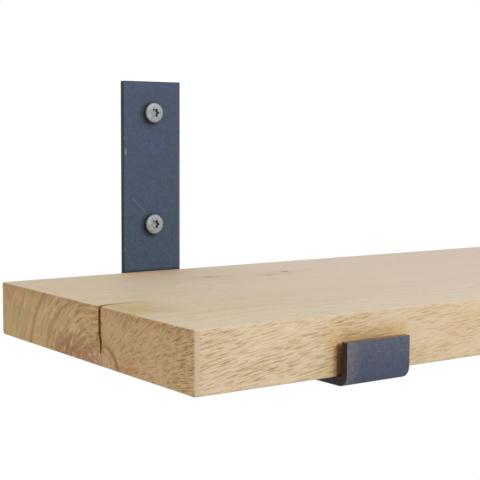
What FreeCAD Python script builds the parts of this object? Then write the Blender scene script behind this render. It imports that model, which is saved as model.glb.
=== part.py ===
# Bracket wall shelf: an oak board carried by two brackets bent from flat steel bar.
# X runs along the board, the wall is the plane Y = 0 with the room on its -Y side, and Z is up.
# The origin is the centre of the four wall fixings, on the face of the wall.

import FreeCAD, Part

import os

import Sketcher

# Driving dimensions in millimetres, one row each: alias, value, meaning
SIZES = [
    ("board_length", 600, "oak board, end to end"),
    ("board_depth", 200, "oak board, wall side to front edge"),
    ("board_thickness", 30, "oak board, underside to top"),
    ("board_round", 1.2, "oak board, rounding of its other long edges"),
    ("board_heel_round", 2.5, "oak board, rounding of its lower back edge, which sits in the bends"),
    ("board_end_bevel", 1.1, "oak board, easing of its sawn ends"),
    ("check_offset", 16, "drying crack, ahead of the middle of the board's depth"),
    ("check_length", 30, "drying crack, along the top from the left end"),
    ("check_width", 2.2, "drying crack, width at the left end"),
    ("check_depth", 25, "drying crack, depth at the left end"),
    ("check_kink", 1.2, "drying crack, sideways step half way down"),
    ("check_kink_depth", 14, "drying crack, depth where the step starts"),
    ("check_kink_height", 2.5, "drying crack, height of the step"),
    ("check_tail", 0.08, "drying crack, share of its size left where it runs out"),
    ("check_overcut", 1, "drying crack, reach of its cut above the board"),
    ("bar_width", 40, "flat bar, width"),
    ("bar_thickness", 4, "flat bar, thickness"),
    ("bar_chamfer", 0.4, "flat bar, easing of its long edges"),
    ("bend_radius", 2, "flat bar, inside radius of each bend"),
    ("plate_rise", 116, "wall plate, height above the top of the board"),
    ("lip_height", 17.5, "front lip, height above the arm"),
    ("lip_gap", 4, "front lip, gap to the board's front edge"),
    ("bracket_inset", 100, "bracket, middle of the bar to the end of the board"),
    ("wall_hole_spacing", 68, "wall plate, between its two holes"),
    ("wall_hole_margin", 19, "wall plate, upper hole to the top edge"),
    ("wall_hole_clearance", 0.25, "wall plate, room around the screw's collar"),
    ("wall_screw_length", 60, "wall screw, under the head"),
    ("wall_screw_collar", 6.5, "wall screw, diameter of the collar in the plate"),
    ("wall_screw_shank", 6, "wall screw, diameter of the plain shank"),
    ("wall_screw_thread", 5.2, "wall screw, mean diameter of its thread"),
    ("wall_screw_tip", 6, "wall screw, length of its point"),
    ("wall_screw_head", 12, "wall screw, diameter of its head"),
    ("wall_screw_head_height", 3.4, "wall screw, height of its head"),
    ("wall_screw_head_bevel", 1, "wall screw, bevel round the top of its head"),
    ("wall_screw_drive", 5.6, "wall screw, six-lobe recess across its lobes"),
    ("wall_screw_drive_waist", 3.95, "wall screw, six-lobe recess across its waists"),
    ("wall_screw_drive_lobe", 0.75, "wall screw, six-lobe recess, width at a lobe's end"),
    ("wall_screw_drive_depth", 2.4, "wall screw, six-lobe recess, depth"),
    ("plug_setback", 10, "wall plug, depth behind the face of the wall"),
    ("plug_length", 40, "wall plug, length"),
    ("plug_diameter", 8, "wall plug, across the flats of its eight sides"),
    ("plug_clearance", 0.05, "wall plug, room around the screw's thread"),
    ("plug_collar", 9, "wall plug, length of the closed collar at its mouth"),
    ("plug_nose", 0.9, "wall plug, bevel round its far end"),
    ("plug_slit", 1.2, "wall plug, width of the slit between its two legs"),
    ("plug_tooth_pitch", 4.8, "wall plug, pitch of the teeth along its legs"),
    ("plug_tooth_depth", 0.7, "wall plug, depth of the teeth along its legs"),
    ("plug_fin_height", 1, "wall plug, height of its fins"),
    ("plug_fin_thickness", 1.2, "wall plug, thickness of its fins"),
    ("board_screw_inset", 50, "board screw, from the board's front or back edge"),
    ("board_screw_length", 25, "board screw, under the head"),
    ("board_screw_thread", 3.8, "board screw, mean diameter of its thread"),
    ("board_screw_tip", 4, "board screw, length of its point"),
    ("board_screw_head", 8.8, "board screw, diameter of its head"),
    ("board_screw_head_height", 2.8, "board screw, height of its head"),
    ("board_screw_head_bevel", 0.4, "board screw, bevel round the top of its head"),
    ("board_screw_drive", 3.95, "board screw, six-lobe recess across its lobes"),
    ("board_screw_drive_waist", 2.8, "board screw, six-lobe recess across its waists"),
    ("board_screw_drive_lobe", 0.5, "board screw, six-lobe recess, width at a lobe's end"),
    ("board_screw_drive_depth", 1.6, "board screw, six-lobe recess, depth"),
    ("arm_hole_clearance", 0.25, "arm, room around the board screw's thread"),
    ("pilot_clearance", 0.05, "board, room around the board screw's thread"),
    ("pilot_spare", 2, "board, pilot hole past the board screw's point"),
]

# Counts
LOBES = 6
PLUG_SIDES = 8
PLUG_LEGS = 2
PLUG_TEETH = 5

# Levels and depths shared by the pieces, worked out from the driving dimensions
WALL = "0"
PLATE_FRONT = "-Sizes.bar_thickness"
PLATE_TOP = "(Sizes.wall_hole_spacing / 2 + Sizes.wall_hole_margin)"
BOARD_TOP = f"({PLATE_TOP} - Sizes.plate_rise)"
ARM_TOP = f"({BOARD_TOP} - Sizes.board_thickness)"
ARM_UNDERSIDE = f"({ARM_TOP} - Sizes.bar_thickness)"
BOARD_BACK = f"({PLATE_FRONT} - max(Sizes.bend_radius - Sizes.board_heel_round; 0))"
BOARD_FRONT = f"({BOARD_BACK} - Sizes.board_depth)"
LIP_BACK = f"({BOARD_FRONT} - Sizes.lip_gap)"
LIP_FRONT = f"({LIP_BACK} - Sizes.bar_thickness)"
LIP_TOP = f"({ARM_TOP} + Sizes.lip_height)"
WALL_HOLE = "(Sizes.wall_screw_collar + 2 * Sizes.wall_hole_clearance)"
ARM_HOLE = "(Sizes.board_screw_thread + 2 * Sizes.arm_hole_clearance)"

# The places that repeat
SIDES = {
    "left": "-(Sizes.board_length / 2 - Sizes.bracket_inset)",
    "right": "(Sizes.board_length / 2 - Sizes.bracket_inset)",
}
WALL_SCREW_HEIGHTS = {
    "upper": "Sizes.wall_hole_spacing / 2",
    "lower": "-Sizes.wall_hole_spacing / 2",
}
BOARD_SCREW_DEPTHS = {
    "back": f"({BOARD_BACK} - Sizes.board_screw_inset)",
    "front": f"({BOARD_FRONT} + Sizes.board_screw_inset)",
}

# Point numbers of sketch geometry, and the sketch's own origin
START, END, CENTRE = range(1, 4)
SKETCH_ORIGIN = (-1, 1)
NORMAL = FreeCAD.Vector(0, 0, 1)
AXIS_X = FreeCAD.Vector(1, 0, 0)
TOLERANCE = 1e-4
FACING_ROOM = 90
FACING_DOWN = 180

doc = FreeCAD.newDocument("bracket_wall_shelf")
sheet = doc.addObject("Spreadsheet::Sheet", "Sizes")
for row, (alias, value, meaning) in enumerate(SIZES, 1):
    sheet.set(f"A{row}", meaning)
    sheet.set(f"B{row}", str(value))
    sheet.setAlias(f"B{row}", alias)
doc.recompute()


def amount(expression):
    """Present value of an expression over the sheet."""
    return float(sheet.evalExpression(expression))


def place(point):
    """Present position of a sketch point given by two expressions."""
    across, up = point
    return FreeCAD.Vector(amount(across), amount(up), 0)


# Sketches

def new_sketch(body, name, role, offset=None):
    """Sketch on one of the body's own origin planes, moved along its normal by an expression."""
    sketch = body.newObject("Sketcher::SketchObject", name)
    plane = next(item for item in body.Origin.OriginFeatures if item.Role == role)
    sketch.AttachmentSupport = [(plane, "")]
    sketch.MapMode = "FlatFace"
    if offset is not None:
        sketch.setExpression("AttachmentOffset.Base.z", offset)
    return sketch


def dimension(sketch, expression, *constraint):
    """Add a dimension whose value follows the sheet."""
    index = sketch.addConstraint(Sketcher.Constraint(*constraint, amount(expression)))
    sketch.setExpression(f"Constraints[{index}]", expression)


def pin(sketch, geometry, vertex, point):
    """Tie a point of the sketch to the sheet by its two distances from the origin."""
    across, up = point
    dimension(sketch, across, "DistanceX", *SKETCH_ORIGIN, geometry, vertex)
    dimension(sketch, up, "DistanceY", *SKETCH_ORIGIN, geometry, vertex)


def draw_outline(sketch, corners):
    """Closed outline of straight sides through corners that follow the sheet."""
    spots = [place(corner) for corner in corners]
    lines = [sketch.addGeometry(Part.LineSegment(a, b)) for a, b in zip(spots, spots[1:] + spots[:1])]
    for line, following in zip(lines, lines[1:] + lines[:1]):
        sketch.addConstraint(Sketcher.Constraint("Coincident", line, END, following, START))
    for line, corner in zip(lines, corners):
        pin(sketch, line, START, corner)


def draw_circle(sketch, centre, diameter):
    """Circle whose place and diameter follow the sheet."""
    ring = sketch.addGeometry(Part.Circle(place(centre), NORMAL, amount(diameter) / 2))
    pin(sketch, ring, CENTRE, centre)
    dimension(sketch, diameter, "Diameter", ring)


# Features

def pad(body, name, sketch, length, side="One side", reverse=False):
    """Solid of the sketch's outline."""
    feature = body.newObject("PartDesign::Pad", name)
    feature.Profile = sketch
    feature.SideType = side
    feature.Reversed = reverse
    feature.setExpression("Length", length)
    doc.recompute()
    return feature


def pocket(body, name, sketch, depth, side="One side", reverse=False):
    """Cut of the sketch's outline, which has to take material away."""
    before = body.Shape.Volume
    feature = body.newObject("PartDesign::Pocket", name)
    feature.Profile = sketch
    feature.SideType = side
    feature.Reversed = reverse
    feature.setExpression("Length", depth)
    doc.recompute()
    if feature.Shape.Volume >= before:
        raise RuntimeError(f"{body.Label}: {name} cuts nothing")
    return feature


def revolve(body, name, sketch):
    """Solid turned about the sketch's upright axis."""
    feature = body.newObject("PartDesign::Revolution", name)
    feature.Profile = sketch
    feature.ReferenceAxis = (sketch, ["V_Axis"])
    doc.recompute()


def pick_edges(body, chosen):
    """The body's latest feature, with the names of those of its edges that the test picks out."""
    base = body.Tip
    return base, [f"Edge{number}" for number, edge in enumerate(base.Shape.Edges, 1) if chosen(edge)]


def fillet(body, name, radius, chosen):
    """Round the edges that the test picks out."""
    edges = pick_edges(body, chosen)
    feature = body.newObject("PartDesign::Fillet", name)
    feature.Base = edges
    feature.setExpression("Radius", radius)
    doc.recompute()


def chamfer(body, name, size, chosen):
    """Bevel the edges that the test picks out."""
    edges = pick_edges(body, chosen)
    feature = body.newObject("PartDesign::Chamfer", name)
    feature.Base = edges
    feature.setExpression("Size", size)
    doc.recompute()


def turn_copies(body, name, feature, sketch, count):
    """Repeat a feature all round the axis of the sketch named."""
    pattern = body.newObject("PartDesign::PolarPattern", name)
    pattern.Originals = [feature]
    pattern.Axis = (sketch, ["N_Axis"])
    pattern.Angle = 360
    pattern.Occurrences = count
    body.Tip = pattern
    doc.recompute()


def new_body(label):
    """Empty body of one piece."""
    body = doc.addObject("PartDesign::Body", label)
    body.Label = label
    return body


def put(body, across, back, up, tilt=0):
    """Place a finished piece, tilted about X, where the sheet says."""
    body.Placement = FreeCAD.Placement(FreeCAD.Vector(), FreeCAD.Rotation(AXIS_X, tilt))
    for axis, expression in zip("xyz", (across, back, up)):
        body.setExpression(f"Placement.Base.{axis}", expression)
    return body


# Oak board, drawn from the middle of the back edge of its top

def check_section(share):
    """Outline of the drying crack where it has this share of its full size: a slit with a kink."""
    middle = "-(Sizes.board_depth / 2 + Sizes.check_offset)"
    half = f"{share} * Sizes.check_width / 2"
    kink = f"{share} * Sizes.check_kink"
    shoulder = f"-{share} * Sizes.check_kink_depth"
    knee = f"-{share} * (Sizes.check_kink_depth + Sizes.check_kink_height)"
    return [
        (f"{middle} + {half}", "Sizes.check_overcut"),
        (f"{middle} - {half}", "Sizes.check_overcut"),
        (f"{middle} - {half}", shoulder),
        (f"{middle} - {half} - {kink}", knee),
        (f"{middle} - {kink}", f"-{share} * Sizes.check_depth"),
        (f"{middle} + {half} - {kink}", knee),
        (f"{middle} + {half}", shoulder),
    ]


def make_board():
    """Planed oak board: rounded long edges, eased ends, a drying crack and pilot holes below."""
    body = new_body("shelf_board")
    plan = new_sketch(body, "BoardPlan", "XY_Plane")
    left, right = "-Sizes.board_length / 2", "Sizes.board_length / 2"
    front = "-Sizes.board_depth"
    draw_outline(plan, [(left, "0"), (left, front), (right, front), (right, "0")])
    pad(body, "BoardBlank", plan, "Sizes.board_thickness", reverse=True)
    half_length = amount(right)
    half_depth, half_height = amount("Sizes.board_depth / 2"), amount("Sizes.board_thickness / 2")

    def is_long(edge):
        """Test for the edges that run along the board."""
        return edge.BoundBox.XLength > half_length

    def is_heel(edge):
        """Test for the edges at the lower back of the board."""
        return edge.BoundBox.YMin > -half_depth and edge.BoundBox.ZMax < -half_height

    fillet(body, "HeelEdge", "Sizes.board_heel_round", lambda edge: is_long(edge) and is_heel(edge))
    fillet(body, "LongEdges", "Sizes.board_round", lambda edge: is_long(edge) and not is_heel(edge))
    chamfer(body, "SawnEnds", "Sizes.board_end_bevel", lambda edge: edge.BoundBox.XLength < TOLERANCE)

    mouth = new_sketch(body, "CheckMouth", "YZ_Plane", left)
    draw_outline(mouth, check_section("1"))
    tail = new_sketch(body, "CheckTail", "YZ_Plane", f"{left} + Sizes.check_length")
    draw_outline(tail, check_section("Sizes.check_tail"))
    check = body.newObject("PartDesign::SubtractiveLoft", "DryingCheck")
    check.Profile = mouth
    check.Sections = [tail]
    check.Ruled = True
    doc.recompute()

    pilots = new_sketch(body, "PilotPlan", "XY_Plane", "-Sizes.board_thickness")
    for across in SIDES.values():
        for depth in BOARD_SCREW_DEPTHS.values():
            draw_circle(pilots, (across, f"{depth} - {BOARD_BACK}"),
                        "Sizes.board_screw_thread + 2 * Sizes.pilot_clearance")
    depth = "Sizes.board_screw_length - Sizes.bar_thickness + Sizes.pilot_spare"
    pocket(body, "PilotHoles", pilots, depth, reverse=True)
    return put(body, "0", BOARD_BACK, BOARD_TOP)


# Brackets, drawn on the middle of the bar

def make_bracket(side):
    """Flat bar bent into a wall plate, an arm under the board and a short lip in front of it."""
    body = new_body(f"bracket_{side}")
    shape = new_sketch(body, f"BarOutline_{side}", "YZ_Plane")
    inner_corners = [(LIP_BACK, ARM_TOP), (PLATE_FRONT, ARM_TOP)]
    outer_corners = [(WALL, ARM_UNDERSIDE), (LIP_FRONT, ARM_UNDERSIDE)]
    lip_end = [(LIP_FRONT, LIP_TOP), (LIP_BACK, LIP_TOP)]
    plate_end = [(PLATE_FRONT, PLATE_TOP), (WALL, PLATE_TOP)]
    draw_outline(shape, outer_corners + lip_end + inner_corners + plate_end)
    pad(body, f"Bar_{side}", shape, "Sizes.bar_width", side="Symmetric")

    def at(corners):
        """Test for the edges that run across the bar at these corners."""
        spots = [place(corner) for corner in corners]
        return lambda edge: any(
            abs(edge.BoundBox.Center.y - spot.x) + abs(edge.BoundBox.Center.z - spot.y) < TOLERANCE
            for spot in spots)

    def on_side(edge):
        """Test for the edges of the bar's two narrow sides."""
        box = edge.BoundBox
        half = amount("Sizes.bar_width / 2")
        return box.XLength < TOLERANCE and abs(abs(box.Center.x) - half) < TOLERANCE

    fillet(body, f"InsideBends_{side}", "Sizes.bend_radius", at(inner_corners))
    fillet(body, f"OutsideBends_{side}", "Sizes.bend_radius + Sizes.bar_thickness", at(outer_corners))
    chamfer(body, f"LongEdges_{side}", "Sizes.bar_chamfer", on_side)

    wall_holes = new_sketch(body, f"WallHoles_{side}", "XZ_Plane")
    for height in WALL_SCREW_HEIGHTS.values():
        draw_circle(wall_holes, ("0", height), WALL_HOLE)
    pocket(body, f"PlateDrilling_{side}", wall_holes, "Sizes.bar_thickness", reverse=True)

    arm_holes = new_sketch(body, f"ArmHoles_{side}", "XY_Plane", ARM_TOP)
    for depth in BOARD_SCREW_DEPTHS.values():
        draw_circle(arm_holes, ("0", depth), ARM_HOLE)
    pocket(body, f"ArmDrilling_{side}", arm_holes, "Sizes.bar_thickness")
    return put(body, SIDES[side], "0", "0")


# Screws, drawn upright from the seat of the head, with the head up

def cut_drive(body, label, kind):
    """Six-lobe recess in the top of the head: one lobe, from waist to waist, then turned."""
    tilt = 180 / LOBES
    waist_x = f"Sizes.{kind}_drive_waist / 2 * cos({tilt})"
    waist_y = f"Sizes.{kind}_drive_waist / 2 * sin({tilt})"
    lobe_x = f"Sizes.{kind}_drive / 2"
    lobe_y = f"Sizes.{kind}_drive_lobe / 2"
    sketch = new_sketch(body, f"Lobe_{label}", "XY_Plane", f"Sizes.{kind}_head_height")
    draw_outline(sketch, [
        ("0", "0"), (waist_x, f"-{waist_y}"), (lobe_x, f"-{lobe_y}"), (lobe_x, lobe_y), (waist_x, waist_y)])
    cut = pocket(body, f"DriveLobe_{label}", sketch, f"Sizes.{kind}_drive_depth")
    turn_copies(body, f"Drive_{label}", cut, sketch, LOBES)


def make_screw(label, kind, steps):
    """Pan-head screw: steps are the diameter and the lower end of each length below the head."""
    body = new_body(label)
    profile = new_sketch(body, f"Turning_{label}", "XZ_Plane")
    rim = f"Sizes.{kind}_head / 2"
    top = f"Sizes.{kind}_head_height"
    bevel = f"Sizes.{kind}_head_bevel"
    corners = [("0", top), (f"{rim} - {bevel}", top), (rim, f"{top} - {bevel}"), (rim, "0")]
    level = "0"
    for diameter, lower_end in steps:
        corners += [(f"{diameter} / 2", level), (f"{diameter} / 2", lower_end)]
        level = lower_end
    corners.append(("0", f"-Sizes.{kind}_length"))
    draw_outline(profile, corners)
    revolve(body, f"Blank_{label}", profile)
    cut_drive(body, label, kind)
    return body


def make_wall_screw(side, level):
    """Screw through the wall plate: a collar in the plate, a plain shank, then the thread in the plug."""
    plug_mouth = "-(Sizes.bar_thickness + Sizes.plug_setback)"
    body = make_screw(f"wall_screw_{side}_{level}", "wall_screw", [
        ("Sizes.wall_screw_collar", "-Sizes.bar_thickness"),
        ("Sizes.wall_screw_shank", plug_mouth),
        ("Sizes.wall_screw_thread", "-(Sizes.wall_screw_length - Sizes.wall_screw_tip)"),
    ])
    return put(body, SIDES[side], PLATE_FRONT, WALL_SCREW_HEIGHTS[level], FACING_ROOM)


def make_board_screw(side, end):
    """Screw up through the arm, threaded from its head to its point in the board."""
    body = make_screw(f"board_screw_{side}_{end}", "board_screw", [
        ("Sizes.board_screw_thread", "-(Sizes.board_screw_length - Sizes.board_screw_tip)"),
    ])
    return put(body, SIDES[side], BOARD_SCREW_DEPTHS[end], ARM_UNDERSIDE, FACING_DOWN)


# Wall plugs, drawn upright from the mouth, with the nose down

def make_plug(side, level):
    """Expansion plug: an eight-sided collar with two fins, then two toothed legs with a slit between."""
    label = f"wall_plug_{side}_{level}"
    body = new_body(label)
    outside = "Sizes.plug_diameter / 2"
    collar = "-Sizes.plug_collar"
    end = "-Sizes.plug_length"
    through = "2 * Sizes.plug_diameter"

    section = new_sketch(body, f"PlugSection_{label}", "XY_Plane")
    half_side = 180 / PLUG_SIDES
    corner_radius = f"{outside} / cos({half_side})"
    turns = [half_side * (2 * corner + 1) for corner in range(PLUG_SIDES)]
    draw_outline(section, [
        (f"{corner_radius} * cos({turn})", f"{corner_radius} * sin({turn})") for turn in turns])
    pad(body, f"Sleeve_{label}", section, "Sizes.plug_length", reverse=True)
    far_end = amount(end)
    chamfer(body, f"Nose_{label}", "Sizes.plug_nose", lambda edge: edge.BoundBox.ZMax < far_end + TOLERANCE)

    mouth = new_sketch(body, f"Mouth_{label}", "XY_Plane")
    draw_circle(mouth, ("0", "0"), "Sizes.wall_screw_thread + 2 * Sizes.plug_clearance")
    pocket(body, f"Bore_{label}", mouth, "Sizes.plug_length")

    slit = new_sketch(body, f"SlitOutline_{label}", "XZ_Plane")
    half = "Sizes.plug_slit / 2"
    draw_outline(slit, [(f"-{half}", collar), (half, collar), (half, end), (f"-{half}", end)])
    pocket(body, f"Slit_{label}", slit, through, side="Symmetric")

    teeth = new_sketch(body, f"TeethOutline_{label}", "XZ_Plane")
    root = f"{outside} - Sizes.plug_tooth_depth"
    for tooth in range(PLUG_TEETH):
        start = f"{collar} - {tooth} * Sizes.plug_tooth_pitch"
        foot = f"{collar} - {tooth + 1} * Sizes.plug_tooth_pitch"
        draw_outline(teeth, [(outside, start), (outside, foot), (root, foot)])
    notches = pocket(body, f"LegTeeth_{label}", teeth, through, side="Symmetric")
    turn_copies(body, f"Teeth_{label}", notches, section, PLUG_LEGS)

    fin = new_sketch(body, f"FinOutline_{label}", "XZ_Plane")
    draw_outline(fin, [
        (root, "0"), (outside, "0"), (f"{outside} + Sizes.plug_fin_height", f"{collar} / 2"),
        (outside, collar), (root, collar)])
    blade = pad(body, f"Fin_{label}", fin, "Sizes.plug_fin_thickness", side="Symmetric")
    turn_copies(body, f"Fins_{label}", blade, section, PLUG_LEGS)
    return put(body, SIDES[side], "Sizes.plug_setback", WALL_SCREW_HEIGHTS[level], FACING_ROOM)


# The whole shelf

pieces = [make_board()]
for side in SIDES:
    pieces.append(make_bracket(side))
    for level in WALL_SCREW_HEIGHTS:
        pieces.append(make_wall_screw(side, level))
        pieces.append(make_plug(side, level))
    for end in BOARD_SCREW_DEPTHS:
        pieces.append(make_board_screw(side, end))
doc.recompute()

for item in doc.Objects:
    if "Invalid" in item.State or "Error" in item.State:
        raise RuntimeError(f"{item.Label} failed: {item.State}")
for piece in pieces:
    if piece.Shape.isNull() or not piece.Shape.isValid():
        raise RuntimeError(f"{piece.Label} has no valid shape")
    if len(piece.Shape.Solids) != 1:
        raise RuntimeError(f"{piece.Label} is {len(piece.Shape.Solids)} solids")

os.makedirs("parts", exist_ok=True)
for piece in pieces:
    piece.Shape.exportStep(f"parts/{piece.Label}.step")
    print(piece.Label, round(piece.Shape.Volume, 1))
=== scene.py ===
"""Looks of the bracket wall shelf: finer meshes, finishes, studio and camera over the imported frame.

Meshes are in metres. Shader patterns are in millimetres, in the frame's own axes:
X along the board, Y towards the wall, Z up.
"""
from collections import namedtuple
from math import copysign, cos, hypot, pi, radians, sin

import bmesh
import bpy
from mathutils import Matrix, Vector, noise


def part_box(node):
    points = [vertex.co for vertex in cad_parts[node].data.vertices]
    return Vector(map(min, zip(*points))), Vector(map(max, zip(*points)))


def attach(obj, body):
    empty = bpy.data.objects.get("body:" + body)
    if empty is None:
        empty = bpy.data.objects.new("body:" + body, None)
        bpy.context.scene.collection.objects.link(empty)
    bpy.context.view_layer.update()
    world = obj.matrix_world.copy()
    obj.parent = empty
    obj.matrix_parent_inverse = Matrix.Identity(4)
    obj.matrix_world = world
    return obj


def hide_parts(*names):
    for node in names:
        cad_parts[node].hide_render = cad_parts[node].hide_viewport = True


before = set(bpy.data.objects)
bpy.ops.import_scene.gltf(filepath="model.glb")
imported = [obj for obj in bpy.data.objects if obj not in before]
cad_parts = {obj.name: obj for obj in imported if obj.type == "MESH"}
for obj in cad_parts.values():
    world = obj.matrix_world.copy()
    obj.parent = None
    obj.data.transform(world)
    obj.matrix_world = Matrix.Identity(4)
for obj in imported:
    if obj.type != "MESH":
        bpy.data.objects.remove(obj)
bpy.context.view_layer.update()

MM = 0.001
FULL_TURN = 2 * pi
QUARTER_TURN = pi / 2
ALONG_Y = Vector((0, 1, 0))
ALONG_Z = Vector((0, 0, 1))
Y_AXIS = 1
Z_AXIS = 2

BODY = "root"
SIDES = ("left", "right")
WALL_ROWS = ("upper", "lower")
BOARD_ROWS = ("back", "front")
SMOOTH_ANGLE = 32
SCREW_SMOOTH_ANGLE = 40
HOLE_FACES = 48


def rgb(red, green, blue):
    """Colour written in sRGB, 0 to 255, as a shader takes it."""
    parts = [part / 255 for part in (red, green, blue)]
    return tuple(p / 12.92 if p <= 0.04045 else ((p + 0.055) / 1.055) ** 2.4 for p in parts) + (1.0,)


# Meshes

def mesh_of_rings(name, rings):
    """Closed mesh through rings of equally many points, with a face over each end, facing outwards."""
    count = len(rings[0])
    points = [point for ring in rings for point in ring]
    faces = []
    for row in range(len(rings) - 1):
        for column in range(count):
            here = row * count + column
            beside = row * count + (column + 1) % count
            faces.append((here, beside, beside + count, here + count))
    last = (len(rings) - 1) * count
    faces.append(tuple(range(count)))
    faces.append(tuple(range(last, last + count)))
    mesh = bpy.data.meshes.new(name)
    mesh.from_pydata(points, [], faces)
    shape = bmesh.new()
    shape.from_mesh(mesh)
    bmesh.ops.recalc_face_normals(shape, faces=shape.faces)
    shape.to_mesh(mesh)
    shape.free()
    return mesh


def joined(name, meshes):
    """Several closed meshes as one. They are used up."""
    shape = bmesh.new()
    for mesh in meshes:
        shape.from_mesh(mesh)
        bpy.data.meshes.remove(mesh)
    mesh = bpy.data.meshes.new(name)
    shape.to_mesh(mesh)
    shape.free()
    return mesh


def placed(name, data):
    """New object in the scene."""
    made = bpy.data.objects.new(name, data)
    bpy.context.scene.collection.objects.link(made)
    return made


def cut(mesh, tool):
    """The mesh without the tool's solids. Both given meshes are used up."""
    name = mesh.name
    solid = placed(name + "_blank", mesh)
    cutter = placed(name + "_cutter", tool)
    modifier = solid.modifiers.new("Cut", "BOOLEAN")
    modifier.operation = "DIFFERENCE"
    modifier.solver = "EXACT"
    modifier.object = cutter
    depsgraph = bpy.context.evaluated_depsgraph_get()
    result = bpy.data.meshes.new_from_object(solid.evaluated_get(depsgraph))
    for made in (solid, cutter):
        bpy.data.objects.remove(made)
    bpy.data.meshes.remove(mesh)
    bpy.data.meshes.remove(tool)
    result.name = name
    return result


def piece(node, mesh, finish, angle=SMOOTH_ANGLE):
    """Piece that stands for a node, with a finish, smooth but for edges over an angle."""
    mesh.shade_smooth()
    mesh.set_sharp_from_angle(angle=radians(angle))
    made = placed(mesh.name, mesh)
    mesh.materials.clear()
    mesh.materials.append(finish)
    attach(made, BODY)
    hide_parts(node)


def rounded_section(width, height, radii, steps):
    """Points round a rectangle about its middle, with a radius for each corner from the upper right."""
    points = []
    for quarter, (side, level) in enumerate(((1, 1), (-1, 1), (-1, -1), (1, -1))):
        radius = radii[quarter]
        for step in range(steps + 1):
            angle = (quarter + step / steps) * QUARTER_TURN
            across = side * (width / 2 - radius) + radius * cos(angle)
            up = level * (height / 2 - radius) + radius * sin(angle)
            points.append((across, up))
    return points


def quarter_round(ease, steps):
    """How far a rounded end lies behind its face, with how far its section is drawn in there."""
    turns = [step / steps * QUARTER_TURN for step in range(steps)]
    return [(ease * (1 - cos(turn)), ease * (1 - sin(turn))) for turn in turns]


def cylinder(name, base, axis, length, radius):
    """Round cutter from a base point along an axis."""
    across = axis.orthogonal().normalized()
    third = axis.cross(across)
    turns = [FULL_TURN * step / HOLE_FACES for step in range(HOLE_FACES)]
    rim = [(across * cos(turn) + third * sin(turn)) * radius for turn in turns]
    far = base + axis * length
    return mesh_of_rings(name, [[base + spoke for spoke in rim], [far + spoke for spoke in rim]])


# Board

BOARD = "shelf_board"
BOARD_LOW, BOARD_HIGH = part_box(BOARD)
BOARD_ROUND = 1.2 * MM
BOARD_HEEL_ROUND = 2.5 * MM
BOARD_ROUNDS = (BOARD_ROUND,) * 3 + (BOARD_HEEL_ROUND,)
BOARD_LEAST_ROUND = 0.1 * MM
BOARD_END_EASE = 1.1 * MM
BOARD_STATIONS = 25
ROUND_STEPS = 6
PILOT_RADIUS = 1.95 * MM
OVERSHOOT = 1.0 * MM

# Drying crack in the board's left end
CRACK_Y = -119.0 * MM
CRACK_WIDTH = 2.6 * MM
CRACK_DEPTH = 25.0 * MM
CRACK_LENGTH = 24.0 * MM
CRACK_SWING = 2.6 * MM
CRACK_SWING_RUN = 7.0 * MM
CRACK_STEP = 1.1 * MM
CRACK_STEP_DEPTH = 14.5 * MM
CRACK_STEP_HEIGHT = 1.5 * MM
CRACK_MOUTH = 0.8 * MM
CRACK_MOUTH_DEPTH = 1.6 * MM
CRACK_LEAST = 0.02 * MM
CRACK_TAIL = 0.12
CRACK_TAPER_POWER = 8
CRACK_CLOSING_POWER = 6
CRACK_LEVELS = 22
CRACK_STATIONS = 14

# Unevenness of the crack: how long it is along and down the crack, its seed and its size
Waver = namedtuple("Waver", "along down seed size")
CRACK_DRIFT = Waver(5.0 * MM, 1.0 * MM, 3.7, 0.25 * MM)
CRACK_RAGGED = Waver(6.0 * MM, 2.2 * MM, 1.3, 0.22 * MM)
CRACK_PINCH = Waver(4.0 * MM, 1.6 * MM, 8.1, 0.16)


def waver(kind, along, below=0.0):
    """Uneven amount at a place in the crack."""
    return kind.size * noise.noise(Vector((along / kind.along, below / kind.down, kind.seed)))


def crack_line(along):
    """The crack's Y on the top, at a distance from the board's end."""
    run = min(max(along / CRACK_SWING_RUN, 0.0), 1.0)
    swing = CRACK_SWING * run * run * (3 - 2 * run)
    return CRACK_Y + swing + waver(CRACK_DRIFT, along)


def crack_cutter():
    """Wavy wedge that opens at the end and the top and runs out along the grain."""
    rings = []
    for station in range(CRACK_STATIONS):
        share = station / (CRACK_STATIONS - 1)
        along = -OVERSHOOT + share * (CRACK_LENGTH + OVERSHOOT)
        open_share = 1 - max(along, 0.0) / CRACK_LENGTH
        depth = CRACK_DEPTH * (CRACK_TAIL + (1 - CRACK_TAIL) * open_share)
        place = BOARD_LOW.x + along
        fore = []
        aft = []
        for level in range(CRACK_LEVELS):
            down = level / (CRACK_LEVELS - 1)
            below = down * depth
            step = min(max((below - CRACK_STEP_DEPTH) / CRACK_STEP_HEIGHT, 0.0), 1.0)
            middle = crack_line(along) - CRACK_STEP * step + waver(CRACK_RAGGED, along, below)
            mouth = CRACK_MOUTH * max(1 - below / CRACK_MOUTH_DEPTH, 0.0)
            half = CRACK_WIDTH / 2 * (1 - down ** CRACK_TAPER_POWER) + mouth
            half = half * open_share ** CRACK_CLOSING_POWER + CRACK_LEAST
            half *= 1 + waver(CRACK_PINCH, along, below)
            height = BOARD_HIGH.z + OVERSHOOT if level == 0 else BOARD_HIGH.z - below
            fore.append((place, middle - half, height))
            aft.append((place, middle + half, height))
        rings.append(fore + aft[::-1])
    return mesh_of_rings("crack_cutter", rings)


def board_stations():
    """Places along the board, each with how far its section is drawn in."""
    left, right = BOARD_LOW.x, BOARD_HIGH.x
    ends = quarter_round(BOARD_END_EASE, ROUND_STEPS)
    pitch = (right - left - 2 * BOARD_END_EASE) / (BOARD_STATIONS - 1)
    stations = [(left + back, inset) for back, inset in ends]
    stations += [(left + BOARD_END_EASE + pitch * step, 0.0) for step in range(BOARD_STATIONS)]
    stations += [(right - back, inset) for back, inset in ends[::-1]]
    return stations


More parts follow.
